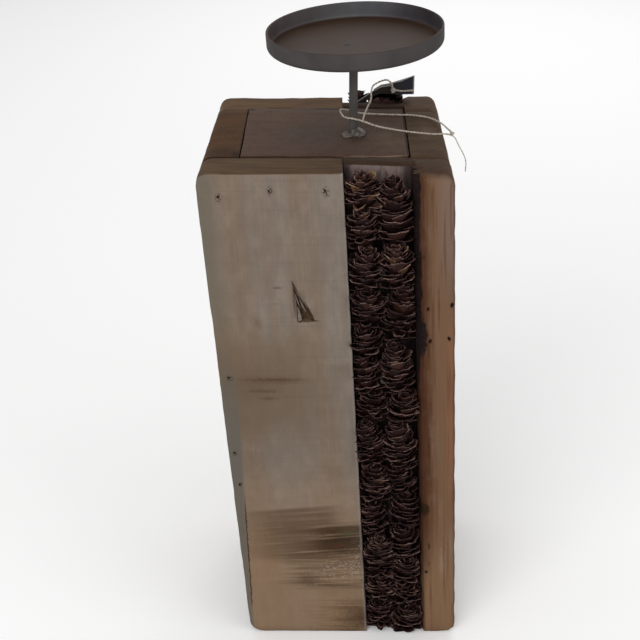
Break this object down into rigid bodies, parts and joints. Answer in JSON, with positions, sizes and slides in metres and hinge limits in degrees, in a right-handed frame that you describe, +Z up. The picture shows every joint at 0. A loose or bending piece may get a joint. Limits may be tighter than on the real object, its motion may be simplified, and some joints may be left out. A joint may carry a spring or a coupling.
{
  "type": "wooden pillar candle holder",
  "caption": "Hollow pillar of reclaimed boards with larch cones set in a slot front and back, and a round metal candle dish on a stem.",
  "frame": {"origin": "middle of the face that the block stands on", "axes": "+X right seen from the front, +Y back, +Z up"},
  "size_m": [0.1553, 0.123, 0.4104],
  "materials": {
    "weathered_pine": "weathered, sawn",
    "red_pine": "planed, dry",
    "side_pine": "rough, dark",
    "panel_pine": "weathered, dry",
    "slot_pine": "rough sawn",
    "larch_cone": "natural, dry",
    "grey_metal": "satin dark grey",
    "hot_glue": "cloudy",
    "charcoal_card": "matt",
    "jute_twine": "natural fibre"
  },
  "bodies": {
    "root": {"back_cone_backing": "slot_pine", "back_left_board": "weathered_pine", "back_left_cone_01": "larch_cone", "back_left_cone_02": "larch_cone", "back_left_cone_03": "larch_cone", "back_left_cone_04": "larch_cone", "back_left_cone_05": "larch_cone", "back_left_cone_06": "larch_cone", "back_left_cone_07": "larch_cone", "back_left_cone_08": "larch_cone", "back_left_cone_09": "larch_cone", "back_left_cone_10": "larch_cone", "back_right_board": "red_pine", "back_right_cone_01": "larch_cone", "back_right_cone_02": "larch_cone", "back_right_cone_03": "larch_cone", "back_right_cone_04": "larch_cone", "back_right_cone_05": "larch_cone", "back_right_cone_06": "larch_cone", "back_right_cone_07": "larch_cone", "back_right_cone_08": "larch_cone", "back_right_cone_09": "larch_cone", "bottom_panel": "panel_pine", "candle_dish": "grey_metal", "dish_stem": "grey_metal", "front_cone_backing": "slot_pine", "front_left_board": "weathered_pine", "front_left_cone_01": "larch_cone", "front_left_cone_02": "larch_cone", "front_left_cone_03": "larch_cone", "front_left_cone_04": "larch_cone", "front_left_cone_05": "larch_cone", "front_left_cone_06": "larch_cone", "front_left_cone_07": "larch_cone", "front_left_cone_08": "larch_cone", "front_left_cone_09": "larch_cone", "front_left_cone_10": "larch_cone", "front_left_cone_11": "larch_cone", "front_left_cone_12": "larch_cone", "front_left_cone_13": "larch_cone", "front_right_board": "red_pine", "front_right_cone_01": "larch_cone", "front_right_cone_02": "larch_cone", "front_right_cone_03": "larch_cone", "front_right_cone_04": "larch_cone", "front_right_cone_05": "larch_cone", "front_right_cone_06": "larch_cone", "front_right_cone_07": "larch_cone", "front_right_cone_08": "larch_cone", "front_right_cone_09": "larch_cone", "front_right_cone_10": "larch_cone", "front_right_cone_11": "larch_cone", "front_right_cone_12": "larch_cone", "glue_bead": "hot_glue", "hang_tag": "charcoal_card", "left_side_board": "side_pine", "right_side_board": "side_pine", "tag_loop": "jute_twine", "tag_twine": "jute_twine", "top_panel": "panel_pine"}
  },
  "joints": []
}
